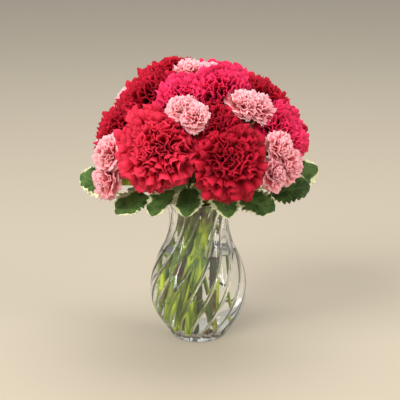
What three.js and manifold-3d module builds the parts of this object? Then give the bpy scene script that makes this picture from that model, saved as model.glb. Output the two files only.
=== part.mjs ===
// A bouquet of red, rose, cerise and pink carnations with variegated leaves, standing in the water of a
// clear glass vase with twisted flutes. Millimetres, +Z up. The origin is the centre of the vase's foot.
import * as THREE from "three";
import Module from "manifold-3d";
import { mergeVertices } from "three/addons/utils/BufferGeometryUtils.js";

const wasm = await Module();
wasm.setup();

const degrees = Math.PI / 180;
const clearance = 0.35; // between pieces that touch on the real bouquet

// The vase: outer radius at each height, from the foot to the flared rim.
const vaseProfile = [
  [0, 25],
  [2.5, 27],
  [14, 35],
  [30, 45],
  [48, 49],
  [66, 47.6],
  [84, 41.8],
  [102, 33.8],
  [118, 30],
  [133, 30.6],
  [146, 35],
];
const flutes = 18;
const fluteDepth = 0.045; // share of the radius, from ridge to valley
const fluteTwist = 85 * degrees; // turn of a ridge from the rim down to the foot
const vaseHeight = 146;
const wall = 3;
const floorThickness = 7;
const floorRadius = 21; // inside
const innerHeights = [146, 133, 118, 102, 66, 48, 30, 16];
const waterLevel = 92;
const waterGap = 0.52; // between the water and the glass

// The dome of blooms is laid out round this point on the vase's axis.
const domeCentre = new THREE.Vector3(0, 0, 177);
const bloomFloor = 152; // no petal hangs lower

// Azimuth is from the front (-Y) towards +X, tilt is from the vertical, reach is from the dome's centre
// to the middle of the bloom, and radius is the bloom's own.
const carnations = [
  { name: "rose_1", azimuth: -26, tilt: 67, radius: 50, reach: 88 },
  { name: "rose_2", azimuth: 114, tilt: 70, radius: 44, reach: 88 },
  { name: "red_1", azimuth: 20, tilt: 74, radius: 44, reach: 87 },
  { name: "red_2", azimuth: -64, tilt: 35, radius: 41, reach: 87 },
  { name: "red_3", azimuth: -78, tilt: 66, radius: 40, reach: 83 },
  { name: "red_4", azimuth: 14, tilt: 52, radius: 36, reach: 84 },
  { name: "red_5", azimuth: 86, tilt: 44, radius: 41, reach: 86 },
  { name: "red_6", azimuth: -114, tilt: 21, radius: 39, reach: 88 },
  { name: "red_7", azimuth: 168, tilt: 62, radius: 45, reach: 87 },
  { name: "cerise_1", azimuth: -17, tilt: 34, radius: 39, reach: 86 },
  { name: "cerise_2", azimuth: 33, tilt: 27, radius: 42, reach: 87 },
  { name: "cerise_3", azimuth: 67, tilt: 63, radius: 44, reach: 88 },
  { name: "cerise_4", azimuth: -138, tilt: 60, radius: 45, reach: 87 },
  { name: "cerise_5", azimuth: 142, tilt: 28, radius: 42, reach: 83 },
];
const sprays = [
  [
    { azimuth: -70, tilt: 6, radius: 21, reach: 92 },
    { azimuth: 50, tilt: 8, radius: 20, reach: 91 },
  ],
  [
    { azimuth: -12, tilt: 46, radius: 18, reach: 98 },
    { azimuth: -3, tilt: 51, radius: 18, reach: 99 },
  ],
  [
    { azimuth: 36, tilt: 44, radius: 20, reach: 97 },
    { azimuth: 50, tilt: 48, radius: 20, reach: 97 },
  ],
  [
    { azimuth: 52, tilt: 72, radius: 20, reach: 99 },
    { azimuth: 57, tilt: 82, radius: 24, reach: 97 },
    { azimuth: 46, tilt: 86, radius: 20, reach: 96 },
  ],
  [
    { azimuth: -60, tilt: 77, radius: 23, reach: 98 },
    { azimuth: -61, tilt: 92, radius: 22, reach: 97 },
  ],
  [
    { azimuth: -106, tilt: 49, radius: 23, reach: 91 },
    { azimuth: -113, tilt: 80, radius: 24, reach: 94 },
  ],
  [
    { azimuth: 142, tilt: 82, radius: 25, reach: 96 },
    { azimuth: -168, tilt: 84, radius: 25, reach: 95 },
  ],
];

// A large bloom and a small one: how far the seat lies behind the middle, the bloom's flatness, its calyx
// and stem, and its petals in layers from the guard petals to the heart. A layer grows from a ring on the
// core, of a few points, a radius and a height, as shares of the bloom's radius. Its rim has a number of
// petals of so many points each, at a polar angle from the bloom's axis, waved by an angle.
const largeBloom = {
  seatDrop: 14,
  flatness: 0.56,
  calyxLength: 25,
  calyxRadius: 7.2,
  neckRadius: 5,
  stemRadius: 2.4,
  knotRadius: 3.2,
  thickness: 0.7,
  layers: [
    { ring: 8, radius: 0.26, height: -0.24, petals: 8, points: 4, polar: 100, wave: 10 },
    { ring: 8, radius: 0.25, height: -0.08, petals: 6, points: 4, polar: 71, wave: 10 },
    { ring: 8, radius: 0.2, height: 0.05, petals: 4, points: 4, polar: 45, wave: 9 },
    { ring: 4, radius: 0.1, height: 0.16, petals: 3, points: 4, polar: 20, wave: 8 },
  ],
};
const smallBloom = {
  seatDrop: 10,
  flatness: 0.75,
  calyxLength: 17,
  calyxRadius: 4.8,
  neckRadius: 3.4,
  stemRadius: 1.9,
  knotRadius: 2.6,
  branchRadius: 1.5,
  thickness: 0.7,
  layers: [
    { ring: 6, radius: 0.28, height: -0.2, petals: 6, points: 4, polar: 95, wave: 12 },
    { ring: 6, radius: 0.24, height: 0, petals: 3, points: 4, polar: 57, wave: 12 },
    { ring: 3, radius: 0.12, height: 0.18, petals: 3, points: 2, polar: 24, wave: 8 },
  ],
};
const firmness = 9; // of pressed petals: the higher, the flatter they lie against each other
const leastShare = 0.36; // of the way to a neighbour's middle that a bloom keeps
const stalkReach = 1.3; // calyx lengths of a neighbour's stalk that the petals keep clear of
const topTilt = 84; // a bloom's axis tilts no further
const axisShare = 0.97; // of the tilt of its place on the dome
const baseShare = 0.85; // of the calyx's radius, where the petals come out of it
const petalLean = 6; // degrees from the most upright petal of a layer to the least
const petalJitter = 0.3; // of the step between two points of a rim
const phaseSpread = 1.5; // radians by which the waves of two petals differ at most
// A petal's rim, point by point: a notch between petals, then teeth with a dip between them.
const petalReach = { 2: [0.74, 1.06], 4: [0.74, 1.06, 0.93, 1.04] };

// Leafy twigs: each has an azimuth at the vase's neck and two leaves. A leaf's foot lies at an azimuth,
// radius and height. The leaf points along a heading, droops, and is rolled round its own length.
const twigs = [
  {
    azimuth: -16,
    leaves: [
      { azimuth: -8, radius: 42, height: 164, heading: -12, droop: 36, roll: 0, length: 36 },
      { azimuth: -36, radius: 42, height: 160, heading: -42, droop: 32, roll: 0, length: 37 },
    ],
  },
  {
    azimuth: -80,
    leaves: [
      { azimuth: -58, radius: 58, height: 155, heading: -64, droop: 22, roll: -28, length: 37 },
      { azimuth: -84, radius: 84, height: 152, heading: -93, droop: -28, roll: -55, length: 38 },
    ],
  },
  {
    azimuth: 30,
    leaves: [
      { azimuth: 24, radius: 41, height: 162, heading: 24, droop: 36, roll: 0, length: 37 },
      { azimuth: 42, radius: 56, height: 155, heading: 64, droop: 14, roll: 30, length: 40 },
    ],
  },
  {
    azimuth: 80,
    leaves: [
      { azimuth: 72, radius: 74, height: 153, heading: 80, droop: -14, roll: 45, length: 40 },
      { azimuth: 92, radius: 86, height: 156, heading: 92, droop: -30, roll: 55, length: 38 },
    ],
  },
  {
    azimuth: 122,
    leaves: [
      { azimuth: 118, radius: 60, height: 154, heading: 112, droop: 6, roll: 15, length: 40 },
      { azimuth: 140, radius: 50, height: 157, heading: 146, droop: 24, roll: 0, length: 38 },
    ],
  },
  {
    azimuth: 178,
    leaves: [
      { azimuth: 164, radius: 46, height: 154, heading: 164, droop: 26, roll: 0, length: 36 },
      { azimuth: -174, radius: 56, height: 153, heading: -178, droop: 14, roll: -15, length: 40 },
    ],
  },
  {
    azimuth: -154,
    leaves: [
      { azimuth: -154, radius: 43, height: 158, heading: -150, droop: 34, roll: 0, length: 36 },
      { azimuth: -140, radius: 58, height: 153, heading: -139, droop: 12, roll: 15, length: 40 },
    ],
  },
  {
    azimuth: -112,
    leaves: [
      { azimuth: -121, radius: 48, height: 158, heading: -117, droop: 26, roll: 0, length: 37 },
      { azimuth: -106, radius: 70, height: 153, heading: -108, droop: 2, roll: 20, length: 40 },
    ],
  },
];
// The calyx runs from the stem's end through its narrow foot and its waist to the seat.
const footLength = 3;
const waistHeight = 0.45; // below the seat, as a share of the calyx's length
const waistShare = 0.86; // of the calyx's radius

// A knot lies between two heights above the stem's end, and a spray forks above the neck.
const lowestKnot = 18;
const knotSpread = 60;
const knotLength = [3, 2.5]; // below and above the knot's middle
const forkRise = 17;
const forkLean = 4;
const forkDepth = 5; // of a branch's foot in the trunk
const branchFoot = 1; // radius of a branch inside the trunk

// A bend's handles, as shares of its length, and the steps that it is made of.
const stemPull = 0.36;
const twigPull = 0.25;
const bendSteps = 3;

const stemSides = 5;
const twigSides = 3;
const twigRadius = 1.3;
const tipRadius = 0.75; // of a leaf's stalk where it ends inside the leaf
const stalkTail = 8; // length of that end
const twigForkDepth = 3;
const leafThickness = 0.8;
const leafWidth = 0.8; // of its length

// Stems run straight from the vase's neck to its floor, fanning out and twisting the same way.
const neckPlane = 130;
const neckReach = 17; // radius of the bundle at the neck
const twigNeckReach = 22;
const lipReach = 26; // of a twig where it passes the rim
const lipRise = 5; // of that place over the rim
const stemGap = 6.9; // least distance between the stems' middles at the neck
const fan = 0.0085; // sideways travel of a stem for each millimetre down, as a share of its distance out
const fanTurn = -102 * degrees;
const bundleLean = new THREE.Vector2(-0.13, 0); // the bundle's lean towards -X on its way down
const leanEase = [6, 20]; // X at the neck where a stem's lean begins to ease off, and where it has gone
const neckTurn = -30; // a stem's azimuth at the neck, against its bloom's
const outerTilt = 40; // half the tilt from which a stem runs at the bundle's rim
const rounds = 400; // of pushing crowded stems apart, each by a share of what they lack
const pushShare = 0.26;
const slant = 1.35; // room that a slanting stem takes up beside the wall, in its radius
const step = 0.25; // of the search for a stem's end

const colours = {
  red: { color: 0xb3132b, roughness: 0.7 },
  rose: { color: 0xd92f55, roughness: 0.7 },
  cerise: { color: 0xdc2f72, roughness: 0.7 },
  pink: { color: 0xf2a9b2, roughness: 0.7 },
  stem: { color: 0x7f9a3c, roughness: 0.6 },
  leaf: { color: 0x2f5a2c, roughness: 0.45 },
  glass: { color: 0xeef4f2, roughness: 0.05, transparent: true, opacity: 0.35 },
  water: { color: 0xeaf4f4, roughness: 0.02, transparent: true, opacity: 0.3 },
};

// Helpers

function direction(azimuth, tilt) {
  const a = azimuth * degrees;
  const t = tilt * degrees;
  return new THREE.Vector3(Math.sin(t) * Math.sin(a), -Math.sin(t) * Math.cos(a), Math.cos(t));
}

// A point at an azimuth, radius and height.
function around(azimuth, radius, height) {
  return direction(azimuth, 90).multiplyScalar(radius).setZ(height);
}

// A repeatable run of numbers from 0 to 1.
function seeded(seed) {
  let state = seed * 7919 + 17;
  return () => {
    state = (state * 16807) % 2147483647;
    return (state % 100000) / 100000;
  };
}

function geometryOf(points, triangles) {
  const positions = points.flatMap((p) => [p.x, p.y, p.z]);
  return new THREE.BufferGeometry()
    .setAttribute("position", new THREE.Float32BufferAttribute(positions, 3))
    .setIndex(triangles);
}

function solidOf(geometry) {
  const bare = new THREE.BufferGeometry()
    .setAttribute("position", geometry.getAttribute("position"))
    .setIndex(geometry.index);
  const merged = mergeVertices(bare, 1e-4);
  return new wasm.Manifold(
    new wasm.Mesh({
      numProp: 3,
      vertProperties: merged.attributes.position.array,
      triVerts: new Uint32Array(merged.index.array),
    }),
  );
}

function geometryOfSolid(solid) {
  const mesh = solid.getMesh();
  return new THREE.BufferGeometry()
    .setAttribute("position", new THREE.Float32BufferAttribute(mesh.vertProperties, 3))
    .setIndex(Array.from(mesh.triVerts));
}

// A closed skin over rings of points, with a flat cap at each end. Rings may differ in size where one
// has a whole number of times the points of the other.
function loft(rings) {
  const points = rings.flat();
  const triangles = [];
  let start = 0;
  for (let i = 0; i + 1 < rings.length; i++) {
    const a = rings[i].length;
    const b = rings[i + 1].length;
    const next = start + a;
    const steps = Math.max(a, b);
    for (let k = 0; k < steps; k++) {
      const a0 = start + Math.floor((k * a) / steps);
      const a1 = start + (Math.floor(((k + 1) * a) / steps) % a);
      const b0 = next + Math.floor((k * b) / steps);
      const b1 = next + (Math.floor(((k + 1) * b) / steps) % b);
      if (a < b) {
        triangles.push(a0, b1, b0);
        if (a0 !== a1) triangles.push(a0, a1, b1);
      } else {
        triangles.push(a0, a1, b0);
        if (b0 !== b1) triangles.push(a1, b1, b0);
      }
    }
    start = next;
  }
  const cap = (ring, offset, flip) => {
    const centre = ring
      .reduce((sum, p) => sum.add(p), new THREE.Vector3())
      .divideScalar(ring.length);
    points.push(centre);
    ring.forEach((_, k) => {
      const pair = [offset + k, offset + ((k + 1) % ring.length)];
      triangles.push(points.length - 1, ...(flip ? pair.reverse() : pair));
    });
  };
  cap(rings[0], 0, true);
  cap(rings.at(-1), start, false);
  return geometryOf(points, triangles);
}

// A round or many-sided tube through points, with a radius at each.
function tube(path, radii, sides) {
  let side = null;
  const rings = path.map((p, i) => {
    const ahead = path[Math.min(i + 1, path.length - 1)];
    const behind = path[Math.max(i - 1, 0)];
    const along = ahead.clone().sub(behind).normalize();
    if (!side) side = new THREE.Vector3(1, 0, 0);
    side.addScaledVector(along, -side.dot(along)).normalize();
    const other = along.clone().cross(side);
    return Array.from({ length: sides }, (_, k) => {
      const turn = (2 * Math.PI * k) / sides;
      return p
        .clone()
        .addScaledVector(side, radii[i] * Math.cos(turn))
        .addScaledVector(other, radii[i] * Math.sin(turn));
    });
  });
  return loft(rings);
}

// A thin blade: its middle surface as points and triangles, thickened to both sides along the normals.
// Both faces have the same triangles, and a wall runs round the outline.
function blade(middle, triangles, thickness) {
  const normals = middle.map(() => new THREE.Vector3());
  for (let i = 0; i < triangles.length; i += 3) {
    const [a, b, c] = triangles.slice(i, i + 3);
    const normal = middle[b].clone().sub(middle[a]).cross(middle[c].clone().sub(middle[a]));
    [a, b, c].forEach((k) => normals[k].add(normal));
  }
  normals.forEach((n) => n.normalize());
  const half = thickness / 2;
  const count = middle.length;
  const upper = middle.map((p, k) => p.clone().addScaledVector(normals[k], half));
  const lower = middle.map((p, k) => p.clone().addScaledVector(normals[k], -half));
  const faces = [...triangles];
  const edges = new Map();
  for (let i = 0; i < triangles.length; i += 3) {
    const [a, b, c] = triangles.slice(i, i + 3);
    faces.push(a + count, c + count, b + count);
    for (const [from, to] of [[a, b], [b, c], [c, a]]) {
      if (!edges.delete(`${to},${from}`)) edges.set(`${from},${to}`, [from, to]);
    }
  }
  for (const [from, to] of edges.values()) {
    faces.push(from, from + count, to, to, from + count, to + count);
  }
  return geometryOf([...upper, ...lower], faces);
}

function profileRadius(profile, height) {
  let i = 0;
  while (i + 2 < profile.length && profile[i + 1][0] < height) i++;
  const [z0, r0] = profile[i];
  const [z1, r1] = profile[i + 1];
  return r0 + ((r1 - r0) * (height - z0)) / (z1 - z0);
}

const innerProfile = innerHeights
  .map((z) => [z, profileRadius(vaseProfile, z) * (1 - fluteDepth / 2) - wall])
  .concat([[floorThickness, floorRadius]])
  .reverse();
const innerRadius = (height) => profileRadius(innerProfile, height);

// The vase and its water

function circle(radius, height, sides, turn = 0) {
  return Array.from({ length: sides }, (_, k) => {
    const angle = (2 * Math.PI * k) / sides + turn;
    return new THREE.Vector3(radius * Math.cos(angle), radius * Math.sin(angle), height);
  });
}

function makeVase() {
  const outer = vaseProfile.map(([z, r]) => {
    const turn = (fluteTwist * z) / vaseHeight;
    const depth = z === 0 ? 0 : fluteDepth * r;
    return circle(r, z, 2 * flutes, turn).map((p, k) =>
      k % 2 ? p.multiplyScalar(1 - depth / r).setZ(z) : p,
    );
  });
  const inner = [...innerProfile].reverse().map(([z, r]) => circle(r, z, flutes, fluteTwist));
  return loft([...outer, ...inner]);
}

function makeWater(holes) {
  const heights = [floorThickness, ...innerHeights.filter((z) => z < waterLevel)].sort((a, b) => a - b);
  const rings = [...heights, waterLevel].map((z) => {
    const height = z === floorThickness ? z + clearance : z;
    return circle(innerRadius(z) - waterGap, height, flutes, fluteTwist);
  });
  return holes.reduce((body, hole) => body.subtract(hole), solidOf(loft(rings)));
}

// Where stems pass the neck and where they end

function layStems() {
  const all = [
    ...carnations.map((c) => ({ ...c, kind: largeBloom, heads: [c] })),
    ...sprays.map((heads, i) => {
      const mean = heads
        .reduce((sum, h) => sum.add(direction(h.azimuth, h.tilt)), new THREE.Vector3())
        .normalize();
      const azimuth = Math.atan2(mean.x, -mean.y) / degrees;
      const tilt = Math.acos(mean.z) / degrees;
      return { name: `spray_${i + 1}`, kind: smallBloom, heads, azimuth, tilt };
    }),
  ];
  all.forEach((stem) => {
    const out = (neckReach * Math.sin((stem.tilt * degrees) / 2)) / Math.sin(outerTilt * degrees);
    const at = around(stem.azimuth + neckTurn, Math.min(out, neckReach), neckPlane);
    stem.neck = new THREE.Vector2(at.x, at.y);
  });
  for (let round = 0; round < rounds; round++) {
    all.forEach((a, i) =>
      all.slice(i + 1).forEach((b) => {
        const apart = a.neck.clone().sub(b.neck);
        const short = stemGap - apart.length();
        if (short > 0) {
          apart.setLength(short * pushShare);
          a.neck.add(apart);
          b.neck.sub(apart);
        }
      }),
    );
    all.forEach((a) => a.neck.clampLength(0, neckReach));
  }
  return all;
}

// How a stem moves sideways for each millimetre down from the neck.
function slope(neck) {
  const kept = 1 - THREE.MathUtils.smoothstep(neck.x, ...leanEase);
  const spread = neck.clone().rotateAround(new THREE.Vector2(), fanTurn).multiplyScalar(fan);
  return spread.addScaledVector(bundleLean, kept);
}

// The point of a stem at a height below the neck.
function stemAt(neck, height) {
  const p = neck.clone().addScaledVector(slope(neck), neckPlane - height);
  return new THREE.Vector3(p.x, p.y, height);
}

// The lowest height that a stem of this radius reaches before it meets the vase's wall or floor.
function stemEnd(neck, radius) {
  let height = floorThickness + clearance;
  const free = (z) => {
    const p = stemAt(neck, z);
    const room = innerRadius(z) * Math.cos(Math.PI / flutes) - clearance;
    return Math.hypot(p.x, p.y) + radius * slant < room;
  };
  while (!free(height) && height < waterLevel) height += step;
  return height;
}

// Blooms

function siteOf(head) {
  return domeCentre.clone().addScaledVector(direction(head.azimuth, head.tilt), head.reach);
}

function axisOf(head) {
  return direction(head.azimuth, Math.min(head.tilt, topTilt) * axisShare);
}

function seatOf(head, kind) {
  return siteOf(head).addScaledVector(axisOf(head), -kind.seatDrop);
}

const allHeads = [
  ...carnations.map((head) => ({ head, kind: largeBloom })),
  ...sprays.flat().map((head) => ({ head, kind: smallBloom })),
];

// The planes that part a bloom from its neighbours, where the petals press on each other, from their
// stalks and from the leaves below.
function wallsOf(head) {
  const site = siteOf(head);
  const walls = [];
  for (const { head: other, kind } of allHeads) {
    if (other === head) continue;
    const away = siteOf(other).sub(site);
    const apart = away.length();
    const share = 0.5 + (head.radius ** 2 - other.radius ** 2) / (2 * apart * apart);
    const kept = THREE.MathUtils.clamp(share, leastShare, 1 - leastShare);
    walls.push({ normal: away.normalize(), distance: kept * apart });
    const seat = seatOf(other, kind);
    const foot = seat.clone().addScaledVector(axisOf(other), -stalkReach * kind.calyxLength);
    const stalk = new THREE.Line3(seat, foot);
    const beside = stalk.closestPointToPoint(site, true, new THREE.Vector3()).sub(site);
    const room = beside.length() - kind.calyxRadius - clearance;
    if (room < head.radius) walls.push({ normal: beside.normalize(), distance: room });
  }
  walls.push({ normal: new THREE.Vector3(0, 0, -1), distance: site.z - bloomFloor });
  return walls;
}

// Draws a point in towards the bloom's middle so that it stays inside the walls. A point far inside
// hardly moves, and the corners between the walls are rounded.
function press(point, site, walls, margin) {
  const out = point.clone().sub(site);
  const length = out.length();
  out.divideScalar(length);
  let sum = length ** -firmness;
  for (const { normal, distance } of walls) {
    sum += (Math.max(0, normal.dot(out)) / (distance - margin)) ** firmness;
  }
  return site.clone().addScaledVector(out, sum ** (-1 / firmness));
}

function frameOf(axis) {
  const side = new THREE.Vector3(0, 0, 1).cross(axis);
  if (side.length() < 1e-3) side.set(1, 0, 0);
  side.normalize();
  return { side, up: axis.clone().cross(side), axis };
}

// The two faces of a thin layer between two rings, set apart along the normals of its middle surface.
function faces(inner, rim, thickness) {
  const normals = [...inner, ...rim].map(() => new THREE.Vector3());
  const at = (k) => (k < inner.length ? inner[k] : rim[k - inner.length]);
  const add = (...corners) => {
    const [a, b, c] = corners.map(at);
    const normal = b.clone().sub(a).cross(c.clone().sub(a));
    corners.forEach((k) => normals[k].add(normal));
  };
  const perRing = rim.length / inner.length;
  rim.forEach((_, k) => {
    const from = Math.floor(k / perRing);
    const to = Math.floor((k + 1) / perRing) % inner.length;
    const next = inner.length + ((k + 1) % rim.length);
    add(from, inner.length + k, next);
    if (to !== from) add(from, next, to);
  });
  const shifted = (ring, first, lift) =>
    ring.map((p, k) => p.clone().addScaledVector(normals[first + k].clone().normalize(), lift));
  const half = thickness / 2;
  return [
    shifted(inner, 0, -half),
    shifted(rim, inner.length, -half),
    shifted(rim, inner.length, half),
    shifted(inner, 0, half),
  ];
}

function makeBloom(head, kind, seed) {
  const random = seeded(seed);
  const site = siteOf(head);
  const { side, up, axis } = frameOf(axisOf(head));
  const walls = wallsOf(head);
  const margin = kind.thickness / 2 + clearance;
  // Azimuth and radius are round the bloom's axis, height is along it.
  const place = (azimuth, radius, height) =>
    site
      .clone()
      .addScaledVector(side, radius * Math.cos(azimuth))
      .addScaledVector(up, radius * Math.sin(azimuth))
      .addScaledVector(axis, height);
  const ring = (count, radius, height) =>
    Array.from({ length: count }, (_, k) => place((2 * Math.PI * k) / count, radius, height));
  const pressed = (points) => points.map((p) => press(p, site, walls, margin));
  const layers = kind.layers.map((layer) => {
    const count = layer.petals * layer.points;
    const offset = Math.floor(random() * layer.points);
    const leans = Array.from({ length: layer.petals }, () => (random() - 0.5) * petalLean);
    const phases = Array.from({ length: layer.petals }, () => random() * phaseSpread);
    const centring = (count / layer.ring - 1) / 2;
    const rim = Array.from({ length: count }, (_, k) => {
      const petal = Math.floor((k + offset) / layer.points) % layer.petals;
      const point = (k + offset) % layer.points;
      const azimuth = (2 * Math.PI * (k - centring + petalJitter * (random() - 0.5))) / count;
      const wave = layer.wave * Math.sin((2 * Math.PI * point) / layer.points + phases[petal]);
      const polar = (layer.polar + leans[petal] + wave) * degrees;
      const reach = head.radius * petalReach[layer.points][point];
      return place(azimuth, reach * Math.sin(polar), reach * kind.flatness * Math.cos(polar));
    });
    const inner = ring(layer.ring, layer.radius * head.radius, layer.height * head.radius);
    return faces(pressed(inner), pressed(rim), kind.thickness);
  });
  const base = ring(kind.layers[0].ring, baseShare * kind.calyxRadius, -kind.seatDrop + clearance);
  return loft([base, ...layers.flat()]);
}

// Stems with their calyx

function calyxPath(head, kind) {
  const seat = seatOf(head, kind);
  const axis = axisOf(head);
  const foot = seat.clone().addScaledVector(axis, -kind.calyxLength);
  return {
    foot,
    axis,
    points: [
      seat.clone().addScaledVector(axis, -kind.calyxLength + footLength),
      seat.clone().addScaledVector(axis, -kind.calyxLength * waistHeight),
      seat,
    ],
    radii: [kind.neckRadius, waistShare * kind.calyxRadius, kind.calyxRadius],
  };
}

// A curve from one point to another that leaves and arrives along given directions.
function bend(from, leaving, to, arriving, pull) {
  const reach = from.distanceTo(to) * pull;
  const curve = new THREE.CubicBezierCurve3(
    from,
    from.clone().addScaledVector(leaving, reach),
    to.clone().addScaledVector(arriving, -reach),
    to,
  );
  return curve.getPoints(bendSteps);
}

function lowerStem(stem, seed) {
  const random = seeded(seed);
  const { stemRadius: r, knotRadius: k } = stem.kind;
  const end = stemEnd(stem.neck, k);
  const knot = end + lowestKnot + knotSpread * random();
  const heights = [end, knot - knotLength[0], knot, knot + knotLength[1], neckPlane];
  return { points: heights.map((z) => stemAt(stem.neck, z)), radii: [r, r, k, r, r] };
}

function upDirection(neck) {
  const s = slope(neck);
  return new THREE.Vector3(-s.x, -s.y, 1).normalize();
}

function makeStem(stem, seed) {
  const { kind, heads } = stem;
  const lower = lowerStem(stem, seed);
  const neckTop = lower.points.at(-1);
  const up = upDirection(stem.neck);
  const single = heads.length === 1;
  if (single) {
    const calyx = calyxPath(heads[0], kind);
    const middle = bend(neckTop, up, calyx.foot, calyx.axis, stemPull).slice(1);
    const path = [...lower.points, ...middle, ...calyx.points];
    const radii = [...lower.radii, ...middle.map(() => kind.stemRadius), ...calyx.radii];
    return solidOf(tube(path, radii, stemSides));
  }
  const fork = neckTop
    .clone()
    .addScaledVector(up, forkRise)
    .addScaledVector(direction(stem.azimuth, stem.tilt), forkLean);
  const rise = fork.clone().sub(neckTop).normalize();
  const trunk = solidOf(tube([...lower.points, fork], [...lower.radii, kind.stemRadius], stemSides));
  return heads.reduce((whole, head) => {
    const calyx = calyxPath(head, kind);
    const start = fork.clone().addScaledVector(rise, -forkDepth);
    const middle = bend(start, rise, calyx.foot, calyx.axis, stemPull);
    const path = [...middle, ...calyx.points];
    const radii = [...middle.map((_, i) => (i ? kind.branchRadius : branchFoot)), ...calyx.radii];
    return whole.add(solidOf(tube(path, radii, stemSides)));
  }, trunk);
}

// Leafy twigs

// The leaf's toothed side from the foot to the tip, as pairs of length and half width.
const leafOutline = [
  [0.17, 0.5],
  [0.36, 0.96],
  [0.44, 0.84],
  [0.62, 1],
  [0.7, 0.8],
  [0.87, 0.62],
];
const midrib = [0.36, 0.7];
const leafArch = 1.5; // rise of the midrib in mid-length
const leafFold = 3; // rise of the rim over the midrib
const leafWave = 0.8; // rise and fall of the teeth

function makeLeaf(leaf) {
  const foot = around(leaf.azimuth, leaf.radius, leaf.height);
  const heading = direction(leaf.heading, 90 + leaf.droop);
  const roll = leaf.roll * degrees;
  const across = heading
    .clone()
    .cross(new THREE.Vector3(0, 0, 1))
    .normalize()
    .applyAxisAngle(heading, roll);
  const face = across.clone().cross(heading);
  const halfWidth = (leafWidth * leaf.length) / 2;
  const place = (along, sideways, lift) =>
    foot
      .clone()
      .addScaledVector(heading, along * leaf.length)
      .addScaledVector(across, sideways * halfWidth)
      .addScaledVector(face, lift + 4 * leafArch * along * (1 - along));
  const middle = [0, ...midrib, 1].map((along) => place(along, 0, 0));
  const tip = middle.length - 1;
  const triangles = [];
  for (const sign of [1, -1]) {
    const first = middle.length;
    leafOutline.forEach(([along, half], k) => {
      middle.push(place(along, sign * half, leafFold * half + (k % 2 ? leafWave : -leafWave)));
    });
    const last = middle.length - 1;
    const split = first + 2; // the rim point where the fan moves on to the next midrib point
    const fans = [[0, first, 1], [1, split, 2], [2, last, tip]];
    for (let k = first; k < last; k++) fans.push([k, k + 1, k < split ? 1 : 2]);
    for (const [a, b, c] of fans) triangles.push(...(sign > 0 ? [a, b, c] : [a, c, b]));
  }
  return { foot, heading, solid: solidOf(blade(middle, triangles, leafThickness)) };
}

function makeTwig(twig) {
  const at = around(twig.azimuth, twigNeckReach, neckPlane);
  const neck = new THREE.Vector2(at.x, at.y);
  const end = stemEnd(neck, twigRadius);
  const lip = around(twig.azimuth, lipReach, vaseHeight + lipRise);
  const rise = lip.clone().sub(stemAt(neck, neckPlane)).normalize();
  const leaves = twig.leaves.map(makeLeaf);
  const pieces = leaves.map((leaf, i) => {
    const lower = i === 0 ? [stemAt(neck, end), stemAt(neck, neckPlane)] : [];
    const start = i === 0 ? lip : lip.clone().addScaledVector(rise, -twigForkDepth);
    const path = [...lower, ...bend(start, rise, leaf.foot, leaf.heading, twigPull)];
    path.push(leaf.foot.clone().addScaledVector(leaf.heading, stalkTail));
    const radii = path.map((_, k) => (k < path.length - 1 ? twigRadius : tipRadius));
    if (i > 0) radii[0] = tipRadius;
    return solidOf(tube(path, radii, twigSides));
  });
  const solid = [...pieces, ...leaves.map((leaf) => leaf.solid)].reduce((a, b) => a.add(b));
  return { solid, neck, end };
}

// The whole bouquet

const bouquet = new THREE.Group();

function addNode(name, material, geometry) {
  const mesh = new THREE.Mesh(geometry, new THREE.MeshStandardMaterial(colours[material]));
  mesh.name = name;
  bouquet.add(mesh);
}

const holes = [];
const overrun = 4; // of a hole past the stem's end and the water's top

// A plain straight hole in the water for a stem with flat sides, a clearance wider all round.
function bore(neck, end, radius, sides) {
  const wide = radius + clearance / Math.cos(Math.PI / sides);
  const along = [stemAt(neck, end - overrun), stemAt(neck, waterLevel + overrun)];
  holes.push(solidOf(tube(along, [wide, wide], sides)));
}

const stems = layStems();
stems.forEach((stem, i) => {
  const name = stem.heads.length === 1 ? `${stem.name}_stem` : `${stem.name}_stems`;
  addNode(name, "stem", geometryOfSolid(makeStem(stem, i + 1)));
  bore(stem.neck, stemEnd(stem.neck, stem.kind.knotRadius), stem.kind.knotRadius, stemSides);
});
carnations.forEach((head, i) => {
  const colour = head.name.split("_")[0];
  addNode(`${head.name}_bloom`, colour, makeBloom(head, largeBloom, i + 11));
});
sprays.forEach((heads, i) =>
  heads.forEach((head, j) => {
    const name = `spray_${i + 1}_bloom_${j + 1}`;
    addNode(name, "pink", makeBloom(head, smallBloom, 40 + 5 * i + j));
  }),
);
twigs.forEach((twig, i) => {
  const { solid, neck, end } = makeTwig(twig);
  addNode(`leaf_twig_${i + 1}`, "leaf", geometryOfSolid(solid));
  bore(neck, end, twigRadius, twigSides);
});
addNode("vase", "glass", makeVase());
addNode("water", "water", geometryOfSolid(makeWater(holes)));

export default bouquet;
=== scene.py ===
import math

import bmesh
import bpy
import numpy as np
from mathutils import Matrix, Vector


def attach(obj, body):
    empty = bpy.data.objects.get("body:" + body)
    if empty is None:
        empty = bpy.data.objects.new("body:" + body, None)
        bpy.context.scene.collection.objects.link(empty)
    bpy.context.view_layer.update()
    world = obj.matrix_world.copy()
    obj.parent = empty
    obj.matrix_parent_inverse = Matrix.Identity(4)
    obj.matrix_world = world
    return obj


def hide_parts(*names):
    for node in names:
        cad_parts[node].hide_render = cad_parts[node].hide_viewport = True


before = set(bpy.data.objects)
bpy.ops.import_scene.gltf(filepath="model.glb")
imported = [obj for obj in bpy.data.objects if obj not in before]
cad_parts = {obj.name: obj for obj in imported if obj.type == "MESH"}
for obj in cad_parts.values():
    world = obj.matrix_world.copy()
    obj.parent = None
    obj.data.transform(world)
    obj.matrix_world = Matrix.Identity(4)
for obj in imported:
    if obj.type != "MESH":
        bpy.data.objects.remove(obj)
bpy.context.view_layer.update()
bpy.ops.object.select_all(action="DESELECT")
print("frame loaded:", len(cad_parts), "nodes")

mm = 0.001


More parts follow.
